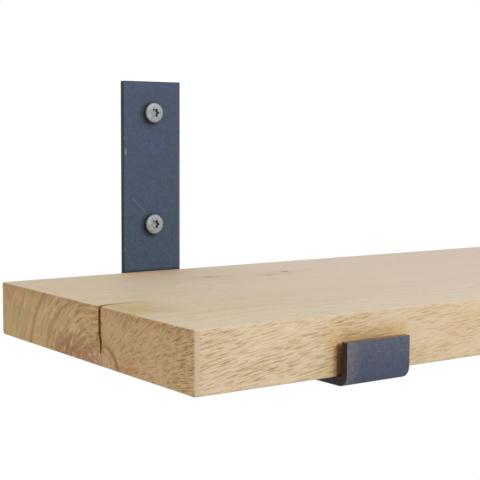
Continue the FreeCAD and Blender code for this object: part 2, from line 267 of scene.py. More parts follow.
def make_board(finish):
    """Planed plank with eased edges, its drying crack and pilot holes."""
    size = BOARD_HIGH - BOARD_LOW
    middle = (BOARD_HIGH + BOARD_LOW) / 2
    rings = []
    for place, inset in board_stations():
        radii = [max(radius - inset, BOARD_LEAST_ROUND) for radius in BOARD_ROUNDS]
        section = rounded_section(size.y - 2 * inset, size.z - 2 * inset, radii, ROUND_STEPS)
        rings.append([(place, middle.y + across, middle.z + up) for across, up in section])
    tools = [crack_cutter()]
    for side in SIDES:
        for row in BOARD_ROWS:
            low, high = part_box(f"board_screw_{side}_{row}")
            base = (low + high) / 2
            base.z = BOARD_LOW.z - OVERSHOOT
            reach = high.z + OVERSHOOT - base.z
            tools.append(cylinder("pilot", base, ALONG_Z, reach, PILOT_RADIUS))
    mesh = cut(mesh_of_rings(f"{BOARD}_dressed", rings), joined("board_cutters", tools))
    piece(BOARD, mesh, finish)


# Brackets

BAR_THICKNESS = 4.0 * MM
BAR_BEND = 2.0 * MM
BAR_EDGE = 0.5 * MM
BAR_LEAST_EDGE = 0.05 * MM
LIP_RISE = 21.5 * MM
BEND_STEPS = 10
BAR_EDGE_STEPS = 4
BAR_STATIONS = 12
WALL_HOLE_RADIUS = 3.5 * MM
ARM_HOLE_RADIUS = 2.15 * MM
HOLE_REACH = 3 * BAR_THICKNESS


def bar_path(low, high):
    """Middle line of the bar from the plate's top to the lip's, as Y, Z and the turn of its section."""
    half = BAR_THICKNESS / 2
    radius = BAR_BEND + half
    wall_y = high.y - half
    lip_y = low.y + half
    arm_z = low.z + half
    bend_z = arm_z + radius
    arm_back = wall_y - radius
    arm_front = lip_y + radius
    bend = [step / BEND_STEPS * QUARTER_TURN for step in range(BEND_STEPS + 1)]
    shares = [step / BAR_STATIONS for step in range(BAR_STATIONS)]
    path = [(wall_y, high.z + (bend_z - high.z) * share, 0.0) for share in shares]
    for turn in bend:
        path.append((arm_back + radius * cos(turn), bend_z - radius * sin(turn), turn))
    for share in shares[1:]:
        path.append((arm_back + (arm_front - arm_back) * share, arm_z, QUARTER_TURN))
    for turn in bend:
        y = arm_front - radius * sin(turn)
        z = bend_z - radius * cos(turn)
        path.append((y, z, QUARTER_TURN + turn))
    path.append((lip_y, low.z + LIP_RISE, pi))
    return path


def make_bracket(side, finish):
    """Flat bar bent into plate, arm and lip, with rolled edges and its screw holes."""
    node = f"bracket_{side}"
    low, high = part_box(node)
    middle_x = (low.x + high.x) / 2
    path = bar_path(low, high)
    ends = quarter_round(BAR_EDGE, BAR_EDGE_STEPS) + [(BAR_EDGE, 0.0)]
    stations = [(path[0], end) for end in ends]
    stations += [(spot, (0.0, 0.0)) for spot in path[1:-1]]
    stations += [(path[-1], end) for end in ends[::-1]]
    rings = []
    for (y, z, turn), (back, inset) in stations:
        radii = [max(BAR_EDGE - inset, BAR_LEAST_EDGE)] * 4
        width = high.x - low.x - 2 * inset
        section = rounded_section(width, BAR_THICKNESS - 2 * inset, radii, BAR_EDGE_STEPS)
        out = cos(turn)
        down = sin(turn)
        rings.append([(middle_x + across, y + up * out, z - back - up * down) for across, up in section])
    tools = []
    for row in WALL_ROWS:
        screw_low, screw_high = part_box(f"wall_screw_{side}_{row}")
        base = Vector((middle_x, -2 * BAR_THICKNESS, (screw_low.z + screw_high.z) / 2))
        tools.append(cylinder("wall_hole", base, ALONG_Y, HOLE_REACH, WALL_HOLE_RADIUS))
    for row in BOARD_ROWS:
        screw_low, screw_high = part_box(f"board_screw_{side}_{row}")
        base = Vector((middle_x, (screw_low.y + screw_high.y) / 2, low.z - BAR_THICKNESS))
        tools.append(cylinder("arm_hole", base, ALONG_Z, HOLE_REACH, ARM_HOLE_RADIUS))
    mesh = cut(mesh_of_rings(f"{node}_dressed", rings), joined("bar_cutters", tools))
    piece(node, mesh, finish)


# Screws

# Sizes of a wall screw and a board screw in millimetres, lengths from under the head
SCREW_SIZES = {
    "head_radius": (6.0, 4.4),
    "head_height": (3.4, 2.8),
    "rim": (1.0, 0.9),
    "lobe": (2.8, 1.95),
    "valley": (1.95, 1.4),
    "drive_depth": (2.0, 1.5),
    "collar_radius": (3.25, 1.85),
    "collar_end": (4.0, 1.0),
    "shank_radius": (3.0, 1.5),
    "shank_end": (14.0, 2.5),
    "crest": (2.55, 1.85),
    "root": (1.95, 1.35),
    "pitch": (2.6, 1.8),
    "point": (7.0, 5.0),
    "length": (60.0, 25.0),
}
Screw = namedtuple("Screw", SCREW_SIZES)
WALL_SCREW, BOARD_SCREW = (Screw(*[size * MM for size in kind]) for kind in zip(*SCREW_SIZES.values()))
SCREW_FACES = 72
SCREW_TURNS = [FULL_TURN * face / SCREW_FACES for face in range(SCREW_FACES)]
DOME_STEPS = 6

# Six-lobe recess, with how far its outline grows and its height over the floor at its rounded foot
LOBES = 6
LOBE_POWER = 0.75
RECESS_BEVEL = 0.12 * MM
RECESS_FOOT = ((-0.30 * MM, 0.0), (-0.08 * MM, 0.15 * MM))
RECESS_RINGS = len(RECESS_FOOT) + 2

# Crown, flank and seat of the head, the seat as insets with their heights
CROWN_MARGIN = 0.4 * MM
CROWN_SAG = 0.12 * MM
FLANK_SHARE = 0.55
SEAT_ROUND = ((0.0, 0.25 * MM), (0.1 * MM, 0.06 * MM), (0.3 * MM, 0.0))

# Thread
COLLAR_STEP = 0.02 * MM
THREAD_RUN_IN = 0.3 * MM
THREAD_STEPS = 9
RIDGE_HALF = 0.26
POINT_FADE = 1.6
POINT_POWER = 0.8
TIP_RADIUS = 0.05 * MM

# Painted shade in the recess, darker on one side, and a painted shadow round the flank, ring by ring
RECESS_SHADE = "recess_shade"
RECESS_SHADE_RINGS = (1, 2)
RECESS_SHADE_MEAN = 0.65
RECESS_SHADE_SWING = 0.35
RECESS_SHADE_SIDE = radians(35)
# Painted shadow round the flank of the head
FLANK_SHADOW = "flank"
FLANK_SHADES = (0.35, 1.0, 1.0, 1.0)
FLANK_START = RECESS_RINGS + 2 * DOME_STEPS


def drive_ring(sizes, grow, level):
    """Rounded six-lobe outline at one level."""
    mean = (sizes.lobe + sizes.valley) / 2
    swing = (sizes.lobe - sizes.valley) / 2
    ring = []
    for turn in SCREW_TURNS:
        wave = cos(LOBES * turn)
        radius = mean + grow + swing * copysign(abs(wave) ** LOBE_POWER, wave)
        ring.append((radius * cos(turn), radius * sin(turn), level))
    return ring


def round_ring(radius, level):
    """Circle at one level."""
    return [(radius * cos(turn), radius * sin(turn), level) for turn in SCREW_TURNS]


def head_rings(sizes):
    """From the recess floor over the crown and its rim to the seat, with Z up out of the head."""
    top = sizes.head_height
    floor = top - sizes.drive_depth
    rings = [drive_ring(sizes, grow, floor + height) for grow, height in RECESS_FOOT]
    rings.append(drive_ring(sizes, 0.0, top - RECESS_BEVEL))
    rings.append(drive_ring(sizes, RECESS_BEVEL, top))
    rim = sizes.rim
    inner = sizes.lobe + CROWN_MARGIN
    outer = sizes.head_radius - rim
    for step in range(DOME_STEPS):
        share = step / DOME_STEPS
        rings.append(round_ring(inner + (outer - inner) * share, top - CROWN_SAG * share * share))
    for step in range(DOME_STEPS + 1):
        turn = step / DOME_STEPS * QUARTER_TURN
        height = top - CROWN_SAG - rim * (1 - cos(turn))
        rings.append(round_ring(outer + rim * sin(turn), height))
    rings.append(round_ring(sizes.head_radius, FLANK_SHARE * top))
    rings += [round_ring(sizes.head_radius - inset, height) for inset, height in SEAT_ROUND]
    return rings


def thread_rings(sizes):
    """From the collar down the shank and a helical thread to the point."""
    start = sizes.shank_end + THREAD_RUN_IN
    rings = [
        round_ring(sizes.collar_radius, 0.0),
        round_ring(sizes.collar_radius, -sizes.collar_end),
        round_ring(sizes.shank_radius, -sizes.collar_end - COLLAR_STEP),
        round_ring(sizes.shank_radius, -sizes.shank_end),
        round_ring(sizes.root, -start),
    ]
    run = sizes.length - start
    count = int(run / sizes.pitch * THREAD_STEPS)
    for step in range(1, count + 1):
        depth = start + run * step / count
        left = min((sizes.length - depth) / sizes.point, 1.0)
        rise = min((depth - start) / sizes.pitch, 1.0) * min(left * POINT_FADE, 1.0)
        ring = []
        for turn in SCREW_TURNS:
            phase = (depth / sizes.pitch + turn / FULL_TURN) % 1.0
            ridge = max(0.0, 1.0 - abs(phase - 0.5) / RIDGE_HALF)
            radius = sizes.root + (sizes.crest - sizes.root) * ridge * rise
            radius = radius * left ** POINT_POWER + TIP_RADIUS
            ring.append((radius * cos(turn), radius * sin(turn), -depth))
        rings.append(ring)
    return rings


def make_screw(node, sizes, finish, axis):
    """Pan-head six-lobe screw in its node's place, with its head at the low end of an axis."""
    mesh = mesh_of_rings(f"{node}_dressed", head_rings(sizes) + thread_rings(sizes))
    # Painted shade in the recess, darker on one side
    recess_shade = mesh.attributes.new(RECESS_SHADE, "FLOAT", "POINT")
    for ring in RECESS_SHADE_RINGS:
        for face, angle in enumerate(SCREW_TURNS):
            shade = RECESS_SHADE_MEAN + RECESS_SHADE_SWING * cos(angle - RECESS_SHADE_SIDE)
            recess_shade.data[ring * SCREW_FACES + face].value = shade
    # Painted shadow round the flank of the head
    flank = mesh.attributes.new(FLANK_SHADOW, "FLOAT", "POINT")
    for ring, shade in enumerate(FLANK_SHADES, FLANK_START):
        for face in range(SCREW_FACES):
            flank.data[ring * SCREW_FACES + face].value = shade
    low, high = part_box(node)
    seat = (low + high) / 2
    seat[axis] = low[axis] + sizes.head_height
    # One quarter turn points the head along -Y, and two along -Z
    turn = Matrix.Rotation(axis * QUARTER_TURN, 4, "X")
    mesh.transform(Matrix.Translation(seat) @ turn)
    piece(node, mesh, finish, SCREW_SMOOTH_ANGLE)


# Shader graphs

Grain = namedtuple("Grain", "lengths detail roughness")
Paint = namedtuple("Paint", "colour strength")
Tint = namedtuple("Tint", "low high first second")

# A mix node's sockets for a share and two colours, and the one that gives a colour
MIX_INPUTS = (0, 6, 7)
MIX_OUTPUT = 2


class Wire:
    """Output of a shader node that can be reckoned with."""

    def __init__(self, graph, socket):
        self.graph = graph
        self.socket = socket

    def __add__(self, other):
        return self.graph.calc("ADD", self, other)

    def __sub__(self, other):
        return self.graph.calc("SUBTRACT", self, other)

    def __rsub__(self, other):
        return self.graph.calc("SUBTRACT", other, self)

    def __mul__(self, other):
        return self.graph.calc("MULTIPLY", self, other)

    __rmul__ = __mul__

    def __truediv__(self, other):
        return self.graph.calc("DIVIDE", self, other)

    def __abs__(self):
        return self.graph.calc("ABSOLUTE", self)

    def step(self, low, high, most=1.0, least=0.0):
        """Least at low, most at high, smooth between. High may be the smaller."""
        inputs = {"Value": self, "From Min": low, "From Max": high, "To Min": least, "To Max": most}
        made = self.graph.node("ShaderNodeMapRange", inputs, interpolation_type="SMOOTHSTEP")
        return self.graph.wire(made, "Result")

    def between(self, low, high, soft):
        """1 inside a range, falling to 0 over the soft width on both sides."""
        return self.step(low - soft, low) * self.step(high + soft, high)

    def split(self):
        made = self.graph.node("ShaderNodeSeparateXYZ", {0: self})
        return tuple(self.graph.wire(made, part) for part in range(3))

    def stretched(self, grain):
        """Noise at a place, whose grains have about the given lengths along the axes."""
        inputs = {0: self, 1: tuple(1 / length for length in grain.lengths)}
        scaled = self.graph.node("ShaderNodeVectorMath", inputs, operation="MULTIPLY")
        return self.graph.noise(self.graph.wire(scaled), grain.detail, grain.roughness)

    def bands(self, width, detail=2.0, roughness=0.5):
        """Noise along a value, with bands of about the given width."""
        return self.graph.noise(self / width, detail, roughness, "W", "1D")

    def tinted(self, tint):
        """Colour that goes from one to another as the value grows."""
        return self.graph.blend(self.step(tint.low, tint.high), tint.first, tint.second)

    def coat(self, paint, share):
        """Colour with a paint laid over a share of it."""
        return self.graph.blend(share * paint.strength, self, paint.colour)

    def shaded(self, shade):
        """Colour made lighter or darker by a factor."""
        return self.graph.blend(1.0, self, self.graph.vector(shade, shade, shade), "MULTIPLY")


class Graph:
    """Node tree written as calls that give back wires."""

    def __init__(self, tree):
        self.tree = tree

    def node(self, kind, inputs=(), **settings):
        made = self.tree.nodes.new(kind)
        for name, value in settings.items():
            setattr(made, name, value)
        for key, value in dict(inputs).items():
            self.feed(made.inputs[key], value)
        return made

    def feed(self, socket, value):
        if isinstance(value, Wire):
            self.tree.links.new(value.socket, socket)
        else:
            socket.default_value = value

    def wire(self, node, output=0):
        return Wire(self, node.outputs[output])

    def calc(self, operation, *values):
        return self.wire(self.node("ShaderNodeMath", enumerate(values), operation=operation))

    def most(self, value, *others):
        """The greatest of several."""
        for other in others:
            value = self.calc("MAXIMUM", value, other)
        return value

    def mix(self, share, first, second):
        """First where the share is 0, second where it is 1."""
        return first * (1.0 - share) + second * share

    def distance(self, first, second):
        """Length of the way with these two legs."""
        return self.calc("SQRT", first * first + second * second)

    def vector(self, x, y, z):
        return self.wire(self.node("ShaderNodeCombineXYZ", {"X": x, "Y": y, "Z": z}))

    def noise(self, place, detail=2.0, roughness=0.5, along="Vector", dimensions="3D"):
        inputs = {along: place, "Scale": 1.0, "Detail": detail, "Roughness": roughness}
        return self.wire(self.node("ShaderNodeTexNoise", inputs, noise_dimensions=dimensions))

    def blend(self, share, first, second, mode="MIX"):
        """Colour between two others."""
        inputs = zip(MIX_INPUTS, (share, first, second))
        return self.wire(self.node("ShaderNodeMix", inputs, data_type="RGBA", blend_type=mode), MIX_OUTPUT)

    def place(self):
        """Point of the surface in millimetres, in the frame's axes."""
        spot = self.wire(self.node("ShaderNodeTexCoord"), "Object")
        return self.wire(self.node("ShaderNodeVectorMath", {0: spot, "Scale": 1 / MM}, operation="SCALE"))

    def facing(self):
        """How far the surface faces along each axis, 0 to 1."""
        normal = self.wire(self.node("ShaderNodeNewGeometry"), "Normal")
        return tuple(abs(part) for part in normal.split())

    def painted(self, name):
        """Value that a mesh carries on its points."""
        return self.wire(self.node("ShaderNodeAttribute", attribute_name=name), "Fac")

    def cover(self, surface, colour, roughness, relief):
        """Give a surface its colour, its roughness and its relief in millimetres."""
        bump = self.node("ShaderNodeBump", {"Strength": 1.0, "Distance": MM, "Height": relief})
        self.feed(surface.inputs["Base Color"], colour)
        self.feed(surface.inputs["Roughness"], roughness)
        self.feed(surface.inputs["Normal"], self.wire(bump))


def new_finish(name):
    """Material with its graph and its surface shader."""
    material = bpy.data.materials.new(name)
    material.use_nodes = True
    return material, Graph(material.node_tree), material.node_tree.nodes["Principled BSDF"]


# Places on the shelf in millimetres, for the finishes

BOARD_LEFT = BOARD_LOW.x / MM
BOARD_RIGHT = BOARD_HIGH.x / MM
BOARD_FRONT = BOARD_LOW.y / MM
BOARD_TOP = BOARD_HIGH.z / MM
CRACK_MIDDLE = CRACK_Y / MM
BRACKET_LOW, BRACKET_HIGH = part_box("bracket_right")
BRACKET_X = (BRACKET_LOW.x + BRACKET_HIGH.x) / 2 / MM
BAR_HALF = (BRACKET_HIGH.x - BRACKET_LOW.x) / 2 / MM
PLATE_TOP = BRACKET_HIGH.z / MM
ARM_UNDERSIDE = BRACKET_LOW.z / MM
LIP_TOP = ARM_UNDERSIDE + LIP_RISE / MM
HEAD_LEVELS = (34.0, -34.0)


# Oak, faces along the grain. Spans tell where a mark starts and is full, along an axis or in a noise,
# then its most and least if these are not 1 and 0.

FACE_TINT = Tint(0.35, 0.65, rgb(208, 186, 154), rgb(204, 178, 141))
GRAIN_RISE = 0.14
GRAIN_WAVE = 2.4
GRAIN_WAVE_LENGTH = 300.0
GRAIN_WAVER = Grain((60.0, 14.0, 1.0), 2.0, 0.5)
GRAIN_WAVER_SIZE = 1.6
TOP_SEED = 7.0
PORE_STREAKS = Grain((9.0, 0.8, 1.0), 1.0, 0.4)
PORE_TICKS = Grain((5.0, 0.5, 1.0), 1.0, 0.5)
FACE_FIGURE = Grain((40.0, 10.0, 1.0), 2.0, 0.5)
STREAK_DARK = (0.53, 0.67, 0.8)
STREAK_LIGHT = (0.48, 0.34)
TICK_DARK = (0.55, 0.68, 0.5)
FIGURE_BUSY = (0.34, 0.60, 1.0, 0.5)
PORE_FADE = (-90.0, -270.0, 1.0, 0.5)
PORE = Paint(rgb(146, 106, 56), 0.62)
FLECK = Paint(rgb(220, 200, 170), 0.45)
# Painted warm glow on the board's front round each lip
LIP_GLOW = Paint(rgb(208, 164, 96), 0.6)
GLOW_REACH = (9.0, 0.5)
GLOW_DEPTH = (BOARD_FRONT + 6.0, BOARD_FRONT + 2.0)
# Painted shadow on the board's front in the gap behind each lip
LIP_GAP_SHADOW = Paint(rgb(134, 78, 48), 0.85)
GAP_SHADOW_EDGE = (0.3, -0.9)
GAP_SHADOW_TOP = (LIP_TOP - 1.0, LIP_TOP - 2.0)
GAP_SHADOW_IN_GLOW = (0.0, 0.1)


def oak_pores(graph, place, flat):
    """Dark pore streaks, pale flecks and broad figure of the faces along the grain, each 0 to 1."""
    x, y, z = place.split()
    wave = graph.calc("SINE", x * (FULL_TURN / GRAIN_WAVE_LENGTH)) * GRAIN_WAVE
    across = graph.mix(flat, z - x * GRAIN_RISE - wave, y)
    bend = graph.vector(x, across, 0.0).stretched(GRAIN_WAVER) * GRAIN_WAVER_SIZE
    bent = graph.vector(x, across + bend, flat * TOP_SEED)
    streaks = bent.stretched(PORE_STREAKS)
    ticks = bent.stretched(PORE_TICKS)
    figure = bent.stretched(FACE_FIGURE)
    shown = figure.step(*FIGURE_BUSY) * x.step(*PORE_FADE)
    dark = streaks.step(*STREAK_DARK) + ticks.step(*TICK_DARK)
    return dark * shown, streaks.step(*STREAK_LIGHT) * shown, figure


def oak_faces(graph, place, flat, dark, light, figure):
    """Colour of the faces along the grain, with a painted warm glow round the lips and a painted shadow in
    the gap behind them.
    """
    x, y, z = place.split()
    front = figure.tinted(FACE_TINT)
    past_bar = abs(abs(x) - BRACKET_X) - BAR_HALF
    gap = graph.distance(graph.most(past_bar, 0.0), graph.most(z - LIP_TOP, 0.0))
    # Painted warm glow round the lip
    lip_glow = gap.step(*GLOW_REACH) * y.step(*GLOW_DEPTH)
    front = front.coat(LIP_GLOW, lip_glow)
    side = graph.blend(flat, front, oak_top(graph, place))
    side = side.coat(PORE, dark)
    side = side.coat(FLECK, light)
    # Painted shadow in the gap behind the lip, from the lip's top down
    gap_shadow = past_bar.step(*GAP_SHADOW_EDGE) * z.step(*GAP_SHADOW_TOP)
    return side.coat(LIP_GAP_SHADOW, gap_shadow * lip_glow.step(*GAP_SHADOW_IN_GLOW))


# Oak, top and underside

PITH_Y = -117.5
PITH_Z = -100.0
TOP_ONLY = (BOARD_TOP - 3.0, BOARD_TOP - 1.0)
TOP_DRIFT = Grain((90.0, 22.0, 200.0), 3.0, 0.6)
TOP_TINT = Tint(0.0, 0.8, rgb(205, 187, 156), rgb(212, 192, 172))
TOP_HUE_RUN = (-300.0, -60.0, 0.8)
TOP_HUE_DRIFT = 1.6
UNDERSIDE_HUE = 0.4
TOP_PALE = Paint(rgb(214, 198, 172), 0.6)
PALE_RUN = (-150.0, -192.0)
OAK_TAN = rgb(192, 166, 114)
TOP_TAN = Paint(OAK_TAN, 0.85)
TAN_ALONG = (-262.0, -290.0)
TAN_ACROSS = (-144.0, -110.0, 7.0)
TAN_RAGGED = 14.0
OAK_TORN = rgb(120, 76, 36)
TOP_VEIN = Paint(rgb(176, 140, 92), 0.8)
VEIN_WIDTH = (3.0, 0.4)
VEIN_ALONG = (-258.0, -292.0)
TORN = Paint(OAK_TORN, 0.75)
SPLIT_WIDTH = (1.6, 0.5)
SPLIT_ALONG = (-282.0, -296.0)
# Painted warm reflection on the top at each plate's foot
TOP_PLATE_REFLECTION = Paint(rgb(232, 188, 150), 0.5)
REFLECTION_PLACES = ((-205.0, -14.0), (195.0, -14.0))
REFLECTION_REACH = (26.0, 4.0)
REFLECTION_SQUEEZE = 0.6
TOP_LINE = Paint(rgb(172, 142, 102), 0.18)
LINE_RANGE = (0.50, 0.66)
LINE_BANDS = (4.5, 3.0, 0.6)
LINE_WANDER = Grain((120.0, 60.0, 200.0), 2.0, 0.5)
LINE_WANDER_SIZE = 34.0

# Knots by X, Y, reach and strength. Other lengths are in reaches, but for the waver.
KNOTS = (
    (-188.3, -49.6, 3.0, 0.85), (-185.0, -52.9, 2.2, 0.55),
    (-153.3, -61.3, 3.4, 0.50), (-134.6, -52.5, 3.2, 0.85),
)
OAK_KNOT = rgb(118, 82, 38)
KNOT_WAVER = 3.0
KNOT_STRETCH = 1.25
KNOT_CORE = 0.35
KNOT_PUSH = 2.0
KNOT_PUSH_REACH = 6.0
HALO_STRETCH = 3.5
HALO_OUTER = 2.8
HALO_INNER = 0.4
HALO_SHARE = 0.45


def oak_top(graph, place):
    """Colour of the top and the underside, from olive to pink, with the knots and patches of the top."""
    x, y, z = place.split()
    on_top = z.step(*TOP_ONLY)
    drift = place.stretched(TOP_DRIFT)
    slow = graph.mix(on_top, UNDERSIDE_HUE, x.step(*TOP_HUE_RUN))
    hue = slow + (drift - 0.5) * TOP_HUE_DRIFT
    colour = hue.tinted(TOP_TINT)
    colour = colour.coat(TOP_PALE, y.step(*PALE_RUN) * on_top)
    ragged = y + drift * TAN_RAGGED
    colour = colour.coat(TOP_TAN, x.step(*TAN_ALONG) * ragged.between(*TAN_ACROSS) * on_top)

    # Vein and split that carry on from the crack
    swing = x.step(BOARD_LEFT, BOARD_LEFT + CRACK_SWING_RUN / MM, CRACK_SWING / MM)
    off_course = abs(y - swing - CRACK_MIDDLE)
    colour = colour.coat(TOP_VEIN, off_course.step(*VEIN_WIDTH) * x.step(*VEIN_ALONG) * on_top)
    colour = colour.coat(TORN, off_course.step(*SPLIT_WIDTH) * x.step(*SPLIT_ALONG) * on_top)

    # Painted warm reflection on the top before the plates
    for patch_x, patch_y in REFLECTION_PLACES:
        far = graph.distance((x - patch_x) * REFLECTION_SQUEEZE, y - patch_y)
        colour = colour.coat(TOP_PLATE_REFLECTION, far.step(*REFLECTION_REACH) * on_top)

    # Growth-ring lines that part round the knots
    wander = (place.stretched(LINE_WANDER) - 0.5) * LINE_WANDER_SIZE
    ring = graph.distance(y - PITH_Y + wander, z - PITH_Z)
    marks = []
    for knot_x, knot_y, reach, strength in KNOTS:
        off_x = x - knot_x
        off_y = y - knot_y + (drift - 0.5) * KNOT_WAVER
        far = graph.distance(off_x / KNOT_STRETCH, off_y)
        streak = graph.distance(off_x / HALO_STRETCH, off_y)
        ring = ring - far.step(KNOT_PUSH_REACH * reach, 0.0, KNOT_PUSH * reach) * on_top
        halo = streak.step(HALO_OUTER * reach, HALO_INNER * reach, HALO_SHARE * strength)
        marks += [(halo, OAK_TAN), (far.step(reach, KNOT_CORE * reach, strength), OAK_KNOT)]
    lines = ring.bands(*LINE_BANDS)
    colour = colour.coat(TOP_LINE, lines.step(*LINE_RANGE))
    for share, tone in marks:
        colour = graph.blend(share * on_top, colour, tone)
    return colour


# Oak, sawn ends

OAK_END_LIGHT = rgb(220, 186, 142)
OAK_END_BROWN = rgb(158, 108, 58)
OAK_RING = rgb(148, 104, 54)
END_TINT = Tint(0.40, 0.64, rgb(191, 163, 110), rgb(207, 168, 122))
END_HUE_FRONT = 0.06
END_PATCHES = Grain((40.0, 18.0, 10.0), 3.0, 0.55)
END_WARP = Grain((30.0, 24.0, 16.0), 3.0, 0.5)
FRONT_HALF = (-114.0, -128.0)
FRONT_EDGE = (-182.0, -196.0, 0.55)
DEPTH_DRIFT = 0.02

# Brown areas, the oval ones by Y, Z, squeeze along Y, outer and inner reach, and strength
Oval = namedtuple("Oval", "y z squeeze outer inner strength")
HEART = Oval(-86.0, -91.0, 0.55, 15.0, 4.0, 0.80)
SMEAR = Oval(-146.0, -90.0, 0.7, 9.0, 1.0, 0.4)
SHADE = Oval(-150.0, -66.0, 0.5, 10.0, 2.0, 0.5)
SHADE_PATCHES = (0.35, 0.60)
BACK_RUN = (-22.0, -8.0)
BACK_PATCHES = (0.40, 0.60, 0.5)
RIM_RUN = (BOARD_TOP - 7.0, BOARD_TOP - 0.5, 0.35)

# Rings round the pith by radius, half width and strength, and the arcs before it
RING_LEAN = 1.35
RING_WARP = 5.0
RING_BAND = 8.0
RING_LINES = (
    (22.0, 1.4, 0.35), (27.0, 1.0, 0.25), (34.0, 1.2, 0.25), (43.0, 2.2, 0.40),
    (57.0, 2.2, 0.50), (64.0, 1.4, 0.15), (71.0, 1.8, 0.18),
)
END_PITH = Paint(rgb(168, 122, 88), 0.75)
PITH_REACH = (23.0, 17.0)
ARC_LEAN = 1.14
ARC_WARP = 3.0
ARC_CORE = 0.1
ARC_PATCHES = (0.35, 0.55, 1.0, 0.4)
FRONT_ARCS = ((15.0, 1.2, 0.45), (19.2, 2.6, 0.85))

# Fibres along the rings, rays and tears away from the pith, as noise by length and by turn
Fan = namedtuple("Fan", "length turns detail roughness")
RAY_Y = -97.0
RAY_Z = -108.0
FIBRES = Fan(2.0, 4.0, 3.0, 0.6)
RAYS = Fan(7.0, 60.0, 3.0, 0.6)
TEARS = Fan(7.0, 140.0, 1.0, 0.5)
RAY_START = (18.0, 23.0)
STREAKS_CLEAR = (-50.0, -80.0, 1.0, 0.45)
STREAKS_FRONT = 0.8
END_STREAK_DARK = (0.51, 0.67)
END_STREAK_LIGHT = (0.49, 0.34)
STREAK_BROWN = Paint(OAK_END_BROWN, 0.85)
STREAK_PALE = Paint(OAK_END_LIGHT, 0.75)
STREAK_DEPTH = 0.20
TEAR_COLUMN = 5.0
TEAR_COLUMNS = (0.50, 0.64, 0.45)
TEAR_RANGE = (0.57, 0.67)
RAISED_RANGE = (0.46, 0.36)
TEAR = Paint(OAK_TORN, 0.85)
TEAR_RAISED = Paint(OAK_END_LIGHT, 0.6)
TEAR_DEPTH = 0.30

# Ticks beside the crack, and open vessels all over
TICK_BEHIND = (9.0, 1.0)
TICK_BEFORE = (-4.0, -1.0)
TICK_END = (0.0, -200.0)
TICK_LEVELS = (-80.0, -68.0, 2.0)
TICK_LENGTH = 14.0
TICK_SPACING = 2.2
TICK_SLANT = 0.2
TICK_RANGE = (0.50, 0.62)
TICK_DEPTH = 0.2
VESSELS = Grain((1.0, 0.9, 0.9), 1.0, 0.5)
VESSEL = Paint(OAK_TORN, 0.32)
VESSEL_RANGE = (0.53, 0.72)
VESSEL_DEPTH = 0.10


def oval(graph, y, z, area):
    """Soft oval on the end, strongest in its middle."""
    far = graph.distance((y - area.y) * area.squeeze, z - area.z)
    return far.step(area.outer, area.inner, area.strength)


def fanned(graph, way, turn, depth, kind):
    """Noise drawn out along rings or rays."""
    spot = graph.vector(way / kind.length, turn * kind.turns, depth)
    return graph.noise(spot, kind.detail, kind.roughness)


def oak_end(graph, place):
    """Colour and relief of the sawn ends: rings behind the pith, rays and torn fibres before it."""
    x, y, z = place.split()
    off_y = y - PITH_Y
    off_z = z - PITH_Z
    spread = graph.most(off_y, 0.0) / RING_LEAN + graph.calc("MINIMUM", off_y, 0.0)
    warp = place.stretched(END_WARP) - 0.5
    radius = graph.distance(spread, off_z)
    ring = radius + warp * RING_WARP
    turn = graph.calc("ARCTAN2", off_z, spread)
    ray = graph.distance(RAY_Y - y, z - RAY_Z)
    ray_turn = graph.calc("ARCTAN2", z - RAY_Z, RAY_Y - y)
    front = y.step(*FRONT_HALF)
    back = 1.0 - front
    depth = x * DEPTH_DRIFT

    # Ground colour and brown areas
    patches = place.stretched(END_PATCHES)
    bands = ring.bands(RING_BAND)
    hue = patches * 0.5 + bands * 0.5 + front * END_HUE_FRONT
    colour = hue.tinted(END_TINT)
    by_wall = y.step(*BACK_RUN) * patches.step(*BACK_PATCHES)
    rim = z.step(*RIM_RUN)
    heart = oval(graph, y, z, HEART) * back
    smear = oval(graph, y, z, SMEAR)
    shade = oval(graph, y, z, SHADE) * patches.step(*SHADE_PATCHES)
    colour = graph.blend(graph.most(heart, by_wall, rim, smear, shade), colour, OAK_END_BROWN)
    colour = colour.coat(END_PITH, ring.step(*PITH_REACH) * back)

    # Fibres, rays and ring lines
    fibres = fanned(graph, ring, turn, depth, FIBRES)
    rays = fanned(graph, ray, ray_turn, depth, RAYS)
    streaks = graph.mix(front * radius.step(*RAY_START), fibres, rays)
    drawn = y.step(*STREAKS_CLEAR) * graph.mix(front, 1.0, STREAKS_FRONT)
    colour = colour.coat(STREAK_BROWN, streaks.step(*END_STREAK_DARK) * drawn)
    colour = colour.coat(STREAK_PALE, streaks.step(*END_STREAK_LIGHT) * drawn)
    for middle, half, strength in RING_LINES:
        near = abs(ring - middle).step(half, 0.0, strength)
        colour = graph.blend(near * back, colour, OAK_RING)
    arc_far = graph.distance(off_y / ARC_LEAN, off_z) + warp * ARC_WARP
    broken = patches.step(*ARC_PATCHES)
    for middle, half, strength in FRONT_ARCS:
        near = abs(arc_far - middle).step(half, ARC_CORE, strength)
        colour = graph.blend(near * front * broken, colour, OAK_RING)

    # Torn fibres
    tears = fanned(graph, ray, ray_turn, depth, TEARS)
    columns = ring.bands(TEAR_COLUMN).step(*TEAR_COLUMNS)
    rough = front * columns + y.step(*FRONT_EDGE)
    torn = tears.step(*TEAR_RANGE) * rough
    colour = colour.coat(TEAR, torn)
    colour = colour.coat(TEAR_RAISED, tears.step(*RAISED_RANGE) * rough)

    # Ticks beside the crack, and vessels
    off_crack = y - CRACK_MIDDLE
    beside = off_crack.step(*TICK_BEHIND) * off_crack.step(*TICK_BEFORE) * x.step(*TICK_END)
    level = (z + y * TICK_SLANT) / TICK_SPACING
    slats = graph.noise(graph.vector(off_crack / TICK_LENGTH, level, 0.0))
    ticks = slats.step(*TICK_RANGE) * z.between(*TICK_LEVELS) * beside
    colour = colour.coat(TORN, ticks)
    vessels = place.stretched(VESSELS)
    colour = colour.coat(VESSEL, vessels.step(*VESSEL_RANGE))
    hollows = torn * TEAR_DEPTH + ticks * TICK_DEPTH + streaks * STREAK_DEPTH + vessels * VESSEL_DEPTH
    return colour, 0.0 - hollows


# Oak, all faces together

